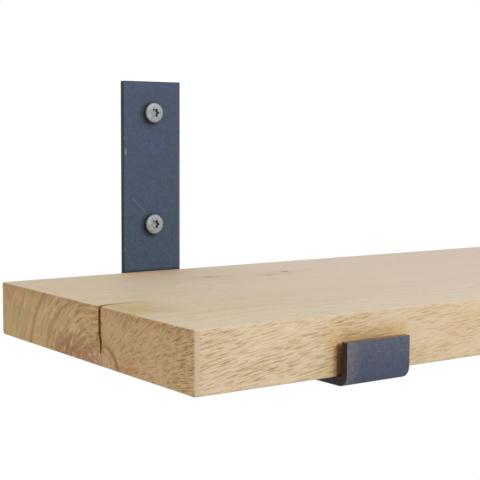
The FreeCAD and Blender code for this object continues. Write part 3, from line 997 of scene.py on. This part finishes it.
END_FACING = (0.62, 0.80)
SIDE_FACING = (0.6, 0.8)
FLAT_CALM = 0.58
CORNER_RUN = (BOARD_RIGHT - 3.2, BOARD_RIGHT - 2.4)
CORNER_CALM = 0.8
ARRIS = Paint(rgb(188, 166, 136), 0.7)
OAK_MOTTLE = Grain((3.2, 1.5, 1.5), 2.0, 0.55)
MOTTLE_DARKEST = 0.95
MOTTLE_SHADE = 0.10
MOTTLE_HEIGHT = 0.05
MOTTLE_ROUGHNESS = 0.16
PORE_DEPTH = 0.20
FLECK_HEIGHT = 0.08
OAK_ROUGHNESS = 0.56
END_ROUGHNESS = 0.12
CRACK_LEAN = 0.8
CRACK_NEAR = (4.4, 3.6)
CRACK_ALONG = (-268.0, -272.0)
CRACK_TINT = Tint(BOARD_TOP - 5.0, BOARD_TOP - 1.0, rgb(142, 86, 14), rgb(122, 74, 14))


def oak():
    """Planed, unvarnished oak with side grain, end grain, knots and eased arrises."""
    material, graph, surface = new_finish("oak_planed")
    place = graph.place()
    x, y, z = place.split()
    face_x, face_y, face_z = graph.facing()
    end = face_x.step(*END_FACING)
    flat = face_z.step(*SIDE_FACING)
    corner = abs(x).step(*CORNER_RUN)
    calm = (1.0 - flat * FLAT_CALM) * (1.0 - corner * CORNER_CALM)
    dark, light, figure = oak_pores(graph, place, flat)
    dark = dark * calm
    light = light * calm
    mottle = place.stretched(OAK_MOTTLE)
    side = oak_faces(graph, place, flat, dark, light, figure)
    side = side.shaded(mottle * MOTTLE_SHADE + MOTTLE_DARKEST)
    side = side.coat(ARRIS, corner * (1.0 - flat))
    end_colour, end_relief = oak_end(graph, place)
    colour = graph.blend(end, side, end_colour)

    # Weathered walls of the crack
    near = abs(y - CRACK_MIDDLE - CRACK_LEAN).step(*CRACK_NEAR)
    inside = near * face_y.step(*SIDE_FACING) * x.step(*CRACK_ALONG)
    colour = graph.blend(inside, colour, z.tinted(CRACK_TINT))

    roughness = mottle * MOTTLE_ROUGHNESS + end * END_ROUGHNESS + OAK_ROUGHNESS
    side_relief = light * FLECK_HEIGHT - dark * PORE_DEPTH
    relief = graph.mix(end, side_relief, end_relief) + mottle * MOTTLE_HEIGHT
    graph.cover(surface, colour, roughness, relief)
    return material


# Steel

STEEL_HANDLED = rgb(108, 104, 108)
# Painted shade on the bar's side faces, browner on the lip's as a painted wood reflection
STEEL_SIDE_SHADE = rgb(44, 50, 60)
STEEL_LIP_SIDE_SHADE = rgb(45, 38, 34)
STEEL_DARK = rgb(38, 38, 42)
STEEL_PALE = rgb(116, 122, 134)
STEEL_GROUND = rgb(120, 80, 50)
STEEL_FOOT = Paint(rgb(61, 79, 95), 0.75)
STEEL_LIP = Paint(rgb(67, 72, 92), 0.7)
STEEL_SPECULAR = 0.28
STEEL_CLOUD = Grain((9.0, 9.0, 12.0), 4.0, 0.6)
STEEL_GRIT = Grain((1.7, 1.7, 1.7), 3.0, 0.65)
STEEL_CHIPS = Grain((6.0, 4.0, 4.0), 2.0, 0.6)
STEEL_TINT = Tint(0.36, 0.64, rgb(69, 78, 105), rgb(63, 78, 93))
STEEL_DARKEST = 0.47
GRIT_SHADE = 0.86
CLOUD_SHADE = 0.2
PLATE_RUN = (-10.0, -6.0)
LIP_RUN = (-200.0, -206.0)
FOOT_RUN = (-10.0, -58.0)
HANDLED_SIDE = (-10.0, -19.5, 0.50)
HANDLED_TOP = (-91.0, -77.0, 0.24)

# Painted shade on the bar's sides, under the arm and along the plate's foot, and darker rims
SIDE_SHADE_FACING = (0.6, 0.9)
# Painted shade under the arm
UNDER_SHADE_RUN = (ARM_UNDERSIDE + 1.0, ARM_UNDERSIDE + 0.2)
UNDER_SHADE_FACING = (0.8, 0.97)
UNDER_SHADE_FRONT = (-209.0, -204.0, 0.7)
TOP_RIM = (PLATE_TOP - 1.0, PLATE_TOP - 0.2)
LIP_RIM = (BAR_HALF - 0.8, BAR_HALF - 0.3)
# Painted contact shade along the plate's foot over the board
CORNER_SHADE_DEPTH = (-2.0, -3.5)
CORNER_SHADE_LEVELS = (-66.0, BOARD_TOP, 2.4)
RIM_DARK = 0.75

# Wear and marks, with a pale edge line that is partly a painted highlight, and a painted shadow round the
# screw heads
EDGE_RUN = (BAR_HALF - 0.9, BAR_HALF - 0.5)
EDGE_CHIPS = (0.58, 0.66)
EDGE_FACING = (0.95, 0.6)
EDGE_STRENGTH = 0.8
# Pale line low down the plates' right edges: partly wear, partly a painted highlight
EDGE_HIGHLIGHT_RUN = (BAR_HALF - 1.4, BAR_HALF - 0.6)
EDGE_HIGHLIGHT_LEVELS = (30.0, -10.0, 0.35)
PLATE_FACE = (-4.2, -3.9, 0.4)
SCRATCH_START = (-213.7, -18.1)
SCRATCH_END = (-205.2, -26.4)
SCRATCH_WIDTH = (0.45, 0.1)
SCRATCH_FADE = 1.5
SCRATCH = Paint(STEEL_PALE, 0.36)
NICK_X = -218.9
NICK_Z = 10.4
NICK_HALF_WIDTH = 0.9
NICK_HALF_HEIGHT = 3.0
NICK_EDGE = (1.0, 0.5)
NICK = Paint(STEEL_PALE, 0.9)
# Painted shadow round the screw heads, offset to the lower left
HEAD_SHADOW = Paint(STEEL_DARK, 0.6)
HEAD_SHADOW_REACH = (8.6, 6.0)
HEAD_SHADOW_OFF_X = 1.4
HEAD_SHADOW_OFF_Z = 0.9
GROUND_FACING = (0.7, 0.9)
GROUND_RUN = (LIP_TOP - 0.6, LIP_TOP - 0.3)
GROUND_CHIPS = (0.34, 0.56)

# Roughness and relief
STEEL_ROUGHNESS = 0.48
CLOUD_ROUGHNESS = 0.16
GRIT_ROUGHNESS = 0.08
WORN_POLISH = 0.12
GROUND_POLISH = 0.22
GRIT_HEIGHT = 0.03
CLOUD_HEIGHT = 0.04
SCRATCH_DEPTH = 0.03


def scratch_line(x, z):
    """1 on one straight scratch across the left plate."""
    run_x = SCRATCH_END[0] - SCRATCH_START[0]
    run_z = SCRATCH_END[1] - SCRATCH_START[1]
    length = hypot(run_x, run_z)
    off_x = x - SCRATCH_START[0]
    off_z = z - SCRATCH_START[1]
    along = (off_x * run_x + off_z * run_z) / length
    aside = (off_z * run_x - off_x * run_z) / length
    return abs(aside).step(*SCRATCH_WIDTH) * along.between(0.0, length, SCRATCH_FADE)


def steel():
    """Oiled mill-scale steel: mottled blue grey, worn along its edges, browned where the lip was cut, with
    painted shade on its sides, under the arm, at the plate's foot and round the heads, and a painted edge
    highlight.
    """
    material, graph, surface = new_finish("steel_mill_scale")
    surface.inputs["Specular IOR Level"].default_value = STEEL_SPECULAR
    place = graph.place()
    x, y, z = place.split()
    face_x, _, face_z = graph.facing()
    off_middle = x - graph.calc("SIGN", x) * BRACKET_X
    plate = y.step(*PLATE_RUN)
    lip = y.step(*LIP_RUN)
    cloud = place.stretched(STEEL_CLOUD)
    grit = place.stretched(STEEL_GRIT)
    chips = place.stretched(STEEL_CHIPS)
    colour = cloud.tinted(STEEL_TINT)
    colour = colour.coat(STEEL_FOOT, plate * z.step(*FOOT_RUN))
    colour = colour.coat(STEEL_LIP, lip)
    handled = off_middle.step(*HANDLED_SIDE) + z.step(*HANDLED_TOP)
    colour = graph.blend(handled * lip * (grit + 0.5), colour, STEEL_HANDLED)
    colour = colour.shaded(grit * GRIT_SHADE + cloud * CLOUD_SHADE + STEEL_DARKEST)

    # Painted shade on the bar's sides, browner on the lip's as a painted wood reflection, painted shade
    # under the arm and along the plate's foot over the board, and darker rims
    # Painted shade on the side faces
    side_shade = graph.blend(lip, STEEL_SIDE_SHADE, STEEL_LIP_SIDE_SHADE)
    colour = graph.blend(face_x.step(*SIDE_SHADE_FACING), colour, side_shade)
    # Painted shade under the arm, behind the lip
    under = z.step(*UNDER_SHADE_RUN) * face_z.step(*UNDER_SHADE_FACING) * y.step(*UNDER_SHADE_FRONT)
    # Painted contact shade along the plate's foot
    corner = plate * y.step(*CORNER_SHADE_DEPTH) * z.between(*CORNER_SHADE_LEVELS)
    rims = graph.most(z.step(*TOP_RIM), lip * off_middle.step(*LIP_RIM), corner) * RIM_DARK
    colour = graph.blend(graph.most(under, rims), colour, STEEL_DARK)

    # Rubbed spots along the bar's edges, and a pale line low down the plates' right edges that is partly
    # wear, partly a painted highlight
    worn = abs(off_middle).step(*EDGE_RUN) * chips.step(*EDGE_CHIPS) * face_x.step(*EDGE_FACING)
    # Partly wear, partly a painted highlight
    worn_edge_highlight = plate * off_middle.step(*EDGE_HIGHLIGHT_RUN) * z.step(*EDGE_HIGHLIGHT_LEVELS)
    colour = graph.blend(graph.most(worn * EDGE_STRENGTH, worn_edge_highlight), colour, STEEL_PALE)

    # One scratch and one nick on the left plate
    plate_face = y.between(*PLATE_FACE)
    scratch = scratch_line(x, z) * plate_face
    colour = colour.coat(SCRATCH, scratch)
    nick = graph.distance((x - NICK_X) / NICK_HALF_WIDTH, (z - NICK_Z) / NICK_HALF_HEIGHT)
    colour = colour.coat(NICK, nick.step(*NICK_EDGE) * plate_face)

    # Painted shadow of each screw head on the plate, offset to the lower left
    for level in HEAD_LEVELS:
        far = graph.distance(off_middle + HEAD_SHADOW_OFF_X, z - (level - HEAD_SHADOW_OFF_Z))
        colour = colour.coat(HEAD_SHADOW, far.step(*HEAD_SHADOW_REACH) * plate_face)

    # Cut end of the lip, browned
    ground = face_z.step(*GROUND_FACING) * z.step(*GROUND_RUN) * lip
    colour = graph.blend(ground * chips.step(*GROUND_CHIPS), colour, STEEL_GROUND)

    dull = cloud * CLOUD_ROUGHNESS + grit * GRIT_ROUGHNESS + STEEL_ROUGHNESS
    roughness = dull - worn * WORN_POLISH - ground * GROUND_POLISH
    relief = grit * GRIT_HEIGHT + cloud * CLOUD_HEIGHT - scratch * SCRATCH_DEPTH
    graph.cover(surface, colour, roughness, relief)
    return material


# Screws and plugs

# Painted shade in the recess and round the flank
ZINC_SHADE = rgb(26, 26, 28)
ZINC_PATCH = Grain((2.2, 2.2, 2.2), 3.0, 0.6)
ZINC_GRIT = Grain((0.35, 0.35, 0.35), 2.0, 0.6)
ZINC_TINT = Tint(0.3, 0.7, rgb(170, 173, 177), rgb(150, 153, 158))
ZINC_ROUGHNESS = 0.54
ZINC_GRIT_ROUGHNESS = 0.14
ZINC_PATCH_ROUGHNESS = 0.06
ZINC_GRIT_HEIGHT = 0.012
ZINC_PATCH_HEIGHT = 0.02
# Painted shade in the recess, painted shadow on the flank, less metallic there
RECESS_SHADE_RANGE = (0.15, 0.9)
FLANK_SHADOW_STRENGTH = 0.92
SHADE_METAL_LOSS = 0.8

NYLON_CLOUD = Grain((6.0, 6.0, 6.0), 2.0, 0.5)
NYLON_GRAIN = Grain((0.5, 0.5, 0.5), 2.0, 0.6)
NYLON_TINT = Tint(0.3, 0.7, rgb(176, 178, 178), rgb(160, 162, 163))
NYLON_ROUGHNESS = 0.42
NYLON_GRAIN_ROUGHNESS = 0.16
NYLON_GRAIN_HEIGHT = 0.03


def zinc():
    """Matt zinc-plated screw steel, faintly tumbled, with painted shade in the recess and a painted shadow
    round the flank.
    """
    material, graph, surface = new_finish("screw_zinc_matt")
    place = graph.place()
    patch = place.stretched(ZINC_PATCH)
    grit = place.stretched(ZINC_GRIT)
    # Painted shade in the recess and painted shadow round the flank
    recess_and_flank_shade = graph.most(graph.painted(RECESS_SHADE).step(*RECESS_SHADE_RANGE), graph.painted(FLANK_SHADOW) * FLANK_SHADOW_STRENGTH)
    plated = patch.tinted(ZINC_TINT)
    roughness = grit * ZINC_GRIT_ROUGHNESS + patch * ZINC_PATCH_ROUGHNESS + ZINC_ROUGHNESS
    relief = grit * ZINC_GRIT_HEIGHT + patch * ZINC_PATCH_HEIGHT
    graph.feed(surface.inputs["Metallic"], 1.0 - recess_and_flank_shade * SHADE_METAL_LOSS)
    graph.cover(surface, graph.blend(recess_and_flank_shade, plated, ZINC_SHADE), roughness, relief)
    return material


def nylon():
    """Moulded grey nylon with a faint satin grain."""
    material, graph, surface = new_finish("plug_nylon_moulded")
    place = graph.place()
    cloud = place.stretched(NYLON_CLOUD)
    grain = place.stretched(NYLON_GRAIN)
    colour = cloud.tinted(NYLON_TINT)
    roughness = grain * NYLON_GRAIN_ROUGHNESS + NYLON_ROUGHNESS
    graph.cover(surface, colour, roughness, grain * NYLON_GRAIN_HEIGHT)
    return material


# Studio and camera

WHITE = (1.0, 1.0, 1.0, 1.0)
AMBIENT = 0.75
STAGE_REACH = 6.0
FLOOR_Z = -0.32
FLOOR_COLOUR = rgb(228, 228, 227)
FLOOR_ROUGHNESS = 0.9
WALL_Y = 0.0006
KEY_PLACE = Vector((0.30, -2.66, 1.45))
KEY_AIM = Vector((-0.15, -0.1, -0.05))
KEY_SIZE = 0.5
KEY_POWER = 34.0
CAMERA_PLACE = Vector((-576.524, -627.114, 21.451)) * MM
CAMERA_YAW = 0.6176
CAMERA_PITCH = 0.0895
CAMERA_ROLL = 0.0042
CAMERA_LENS = 88.676
CAMERA_SENSOR = 36.0
CAMERA_NEAR = 0.01


def make_world():
    """White to the camera, in reflections and through glass, softer as a light."""
    world = bpy.data.worlds.new("studio")
    world.use_nodes = True
    bpy.context.scene.world = world
    graph = Graph(world.node_tree)
    path = graph.node("ShaderNodeLightPath")
    rays = ("Is Camera Ray", "Is Glossy Ray", "Is Transmission Ray")
    shown = graph.most(*[graph.wire(path, ray) for ray in rays])
    background = graph.tree.nodes["Background"]
    background.inputs["Color"].default_value = WHITE
    graph.feed(background.inputs["Strength"], shown * (1 - AMBIENT) + AMBIENT)


def one_sided(graph, shader):
    """Let a part of the studio be seen from its front alone."""
    clear = graph.node("ShaderNodeBsdfTransparent")
    behind = graph.wire(graph.node("ShaderNodeNewGeometry"), "Backfacing")
    inputs = {0: behind, 1: graph.wire(shader), 2: graph.wire(clear)}
    mixed = graph.wire(graph.node("ShaderNodeMixShader", inputs))
    graph.feed(graph.tree.nodes["Material Output"].inputs["Surface"], mixed)


def stage_plane(name, low, high, material):
    """Flat part of the studio between two of its corners."""
    corners = [low, (high[0], *low[1:]), high, (low[0], *high[1:])]
    mesh = bpy.data.meshes.new(name)
    mesh.from_pydata(corners, [], [(0, 1, 2, 3)])
    mesh.materials.append(material)
    made = placed(name, mesh)
    return made


def make_floor():
    """Pale floor that takes the shelf's shadow, seen from above alone."""
    material, graph, surface = new_finish("floor_pale")
    surface.inputs["Base Color"].default_value = FLOOR_COLOUR
    surface.inputs["Roughness"].default_value = FLOOR_ROUGHNESS
    one_sided(graph, surface)
    low = (-STAGE_REACH, -STAGE_REACH, FLOOR_Z)
    stage_plane("floor", low, (STAGE_REACH, STAGE_REACH, FLOOR_Z), material)


def make_wall():
    """White backdrop where the wall is, seen from the room side alone."""
    material, graph, surface = new_finish("wall_white")
    graph.tree.nodes.remove(surface)
    one_sided(graph, graph.node("ShaderNodeEmission", {"Color": WHITE, "Strength": 1.0}))
    low = (-STAGE_REACH, WALL_Y, FLOOR_Z)
    wall = stage_plane("wall", low, (STAGE_REACH, WALL_Y, STAGE_REACH), material)
    wall.visible_diffuse = False
    wall.visible_glossy = False
    wall.visible_transmission = False
    wall.visible_shadow = False


def make_light():
    """One soft lamp from the upper right of the room."""
    lamp = bpy.data.lights.new("key", "AREA")
    lamp.shape = "DISK"
    lamp.size = KEY_SIZE
    lamp.energy = KEY_POWER
    made = placed("key", lamp)
    made.location = KEY_PLACE
    made.rotation_euler = (KEY_AIM - KEY_PLACE).to_track_quat("-Z", "Y").to_euler()


def make_camera():
    """Camera at the photograph's viewing angle."""
    lens = bpy.data.cameras.new("camera")
    lens.sensor_width = CAMERA_SENSOR
    lens.lens = CAMERA_LENS
    lens.clip_start = CAMERA_NEAR
    made = placed("camera", lens)
    turn = Matrix.Rotation(-CAMERA_YAW, 4, "Z")
    tilt = Matrix.Rotation(QUARTER_TURN - CAMERA_PITCH, 4, "X")
    roll = Matrix.Rotation(CAMERA_ROLL, 4, "Z")
    made.matrix_world = Matrix.Translation(CAMERA_PLACE) @ turn @ tilt @ roll
    bpy.context.scene.camera = made


def dress():
    """Every piece of the shelf."""
    oak_finish = oak()
    steel_finish = steel()
    zinc_finish = zinc()
    nylon_finish = nylon()
    make_board(oak_finish)
    for side in SIDES:
        make_bracket(side, steel_finish)
        for row in WALL_ROWS:
            make_screw(f"wall_screw_{side}_{row}", WALL_SCREW, zinc_finish, Y_AXIS)
            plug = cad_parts[f"wall_plug_{side}_{row}"]
            plug.data.materials.clear()
            plug.data.materials.append(nylon_finish)
        for row in BOARD_ROWS:
            make_screw(f"board_screw_{side}_{row}", BOARD_SCREW, zinc_finish, Z_AXIS)


dress()
make_world()
make_floor()
make_wall()
make_light()
make_camera()
bpy.context.scene.view_settings.view_transform = "Standard"
